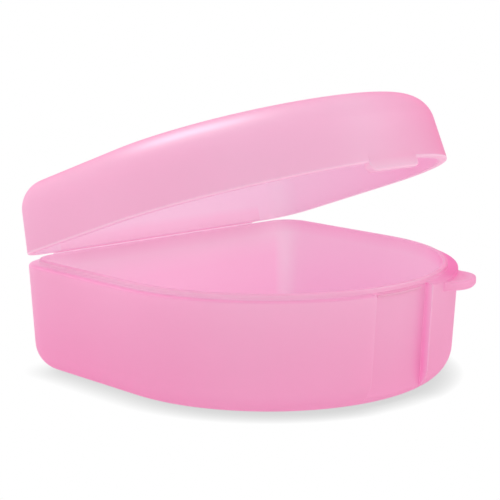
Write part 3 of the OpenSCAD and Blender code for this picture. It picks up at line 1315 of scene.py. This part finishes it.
@dataclass
class Studio:
    """A pale floor, a white surround, soft lamps and the camera of the photograph's view."""

    azimuth: float = -42.549
    elevation: float = 10.632
    place: tuple[float, float, float] = (-0.2271, -0.23965, 0.08771)
    lens: float = 115.70
    sensor: float = 36.0
    nearest: float = 0.01
    farthest: float = 20.0
    surround: float = 0.86
    table: float = 1.02
    floor_reach: float = 3.0
    floor_gap: float = 0.05 * MM
    shadow_reach: float = 4.8 * MM
    shadow_from: tuple[float, float, float] = (0.0, 0.5, 0.87)
    shadow_grey: float = 0.65
    shadow_samples: int = 16
    lamp_target: tuple[float, float, float] = (0.0, 0.0, 0.03)
    lamps: tuple[Softbox, ...] = (Softbox("key_softbox", (-0.10, 0.31, 0.53), 0.20, 0.40, 6.6),
                                  Softbox("fill_softbox", (0.34, -0.46, 0.18), 0.4, 0.2, 1.6))

    def camera(self) -> None:
        """Stands the camera where the photograph was taken from."""
        around = math.radians(self.azimuth)
        up = math.radians(self.elevation)
        back = Vector((math.sin(around) * math.cos(up), -math.cos(around) * math.cos(up), math.sin(up)))
        data = bpy.data.cameras.new("view")
        data.sensor_width = self.sensor
        data.lens = self.lens
        data.clip_start = self.nearest
        data.clip_end = self.farthest
        view = add_object("view", data)
        view.location = self.place
        view.rotation_euler = (-back).to_track_quat("-Z", "Y").to_euler()
        bpy.context.scene.camera = view

    @staticmethod
    def show(tree: NodeTree, seen: Node, light: Node, out: Node) -> None:
        """Shows one shader to the camera, in gloss and through plastic, and lights the case by another.

        Args:
            tree: The node tree.
            seen: The shader that is seen.
            light: The shader that gives light.
            out: The tree's output.
        """
        path = add_node(tree, "ShaderNodeLightPath")
        direct = add_node(tree, "ShaderNodeMath", operation="MAXIMUM")
        any_way = add_node(tree, "ShaderNodeMath", operation="MAXIMUM")
        both = add_node(tree, "ShaderNodeMixShader")
        wire(tree, (path, "Is Camera Ray", direct, 0), (path, "Is Glossy Ray", direct, 1),
             (direct, 0, any_way, 0), (path, "Is Transmission Ray", any_way, 1), (any_way, 0, both, 0),
             (light, 0, both, 1), (seen, 0, both, 2), (both, 0, out, "Surface"))

    def world(self) -> None:
        """White where it is seen, and a plain soft light."""
        world = bpy.data.worlds.new("surround")
        bpy.context.scene.world = world
        tree = emptied_tree(world)
        white = add_node(tree, "ShaderNodeBackground", {"Color": WHITE, "Strength": 1.0})
        light = add_node(tree, "ShaderNodeBackground", {"Color": WHITE, "Strength": self.surround})
        self.show(tree, white, light, add_node(tree, "ShaderNodeOutputWorld"))

    def floor_paint(self) -> Material:
        """A white with a painted shadow by what stands on it, white through plastic, and an even light.

        Returns:
            The new material.
        """
        paint = bpy.data.materials.new("pale_floor")
        tree = emptied_tree(paint)
        table = add_node(tree, "ShaderNodeEmission", {"Color": WHITE, "Strength": self.table})
        lean = add_node(tree, "ShaderNodeCombineXYZ", dict(zip("XYZ", self.shadow_from)))
        near = add_node(tree, "ShaderNodeAmbientOcclusion", {"Distance": self.shadow_reach},
                        samples=self.shadow_samples)
        grey = add_node(tree, "ShaderNodeMapRange", {"To Min": self.shadow_grey, "To Max": 1.0})
        path = add_node(tree, "ShaderNodeLightPath")
        through = add_node(tree, "ShaderNodeMath", operation="MAXIMUM")
        seen = add_node(tree, "ShaderNodeEmission", {"Color": WHITE})
        wire(tree, (lean, "Vector", near, "Normal"), (near, "AO", grey, "Value"),
             (grey, "Result", through, 0), (path, "Is Transmission Ray", through, 1),
             (through, 0, seen, "Strength"))
        self.show(tree, seen, table, add_node(tree, "ShaderNodeOutputMaterial"))
        return paint

    def floor(self) -> None:
        """A pale floor that keeps a painted shadow and runs out to white."""
        far = self.floor_reach
        corners = [(x, y, -self.floor_gap) for x, y in ((-far, -far), (far, -far), (far, far), (-far, far))]
        mesh = bpy.data.meshes.new("floor")
        mesh.from_pydata(corners, [], [range(len(corners))])
        mesh.materials.append(self.floor_paint())
        add_object("floor", mesh)

    def build(self) -> None:
        """Sets up the view, the surround, the floor and the lamps."""
        bpy.context.scene.view_settings.view_transform = "Standard"
        self.camera()
        self.world()
        self.floor()
        for lamp in self.lamps:
            lamp.build(Vector(self.lamp_target))


def main() -> None:
    """Builds the studio and the case, piece by piece."""
    logging.basicConfig(level=logging.INFO, format="%(name)s: %(message)s")
    Studio().build()
    joint = frame["joints"][0]
    axis = Vector(joint["pos_m"])
    open_angle = -joint["range_deg"][0]
    turn = (Matrix.Translation(axis) @ Matrix.Rotation(math.radians(-open_angle), 4, "X")
            @ Matrix.Translation(-axis))
    shell_low, shell_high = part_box("base_shell")
    lip_low, lip_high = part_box("base_rim_lip")
    shoulder = shell_high.x - lip_high.x
    shoulder_z = shell_high.z
    # The hinge's axis lies midway between the shoulder and the closed lid's rim.
    rim_z = shoulder_z + 2 * (axis.z - shoulder_z)
    radius = (shell_high.x - shell_low.x) / 2
    back_y = (lip_high.y - lip_low.y) / 2 + shoulder
    arc_y = radius - back_y
    ear = FingerEar(radius, arc_y, shoulder_z)
    strip = HingeStrip(half_width=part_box("hinge_web")[1].x)
    plan = CasePlan(radius, arc_y, back_y, strip, ear.wall_angles())
    tray = BaseTray(plan, ear, shoulder_z, lip_high.z, shoulder)
    tray.finish()
    lid = LidShell(plan, rim_z, turn)
    lid.finish()
    LivingHinge(axis.y, axis.z, open_angle, strip.half_width).finish()
    snap = LatchSnap(plan, SweptBead())
    snap.finish_catch(tray)
    snap.finish_bead(lid)


if __name__ == "__main__":
    main()
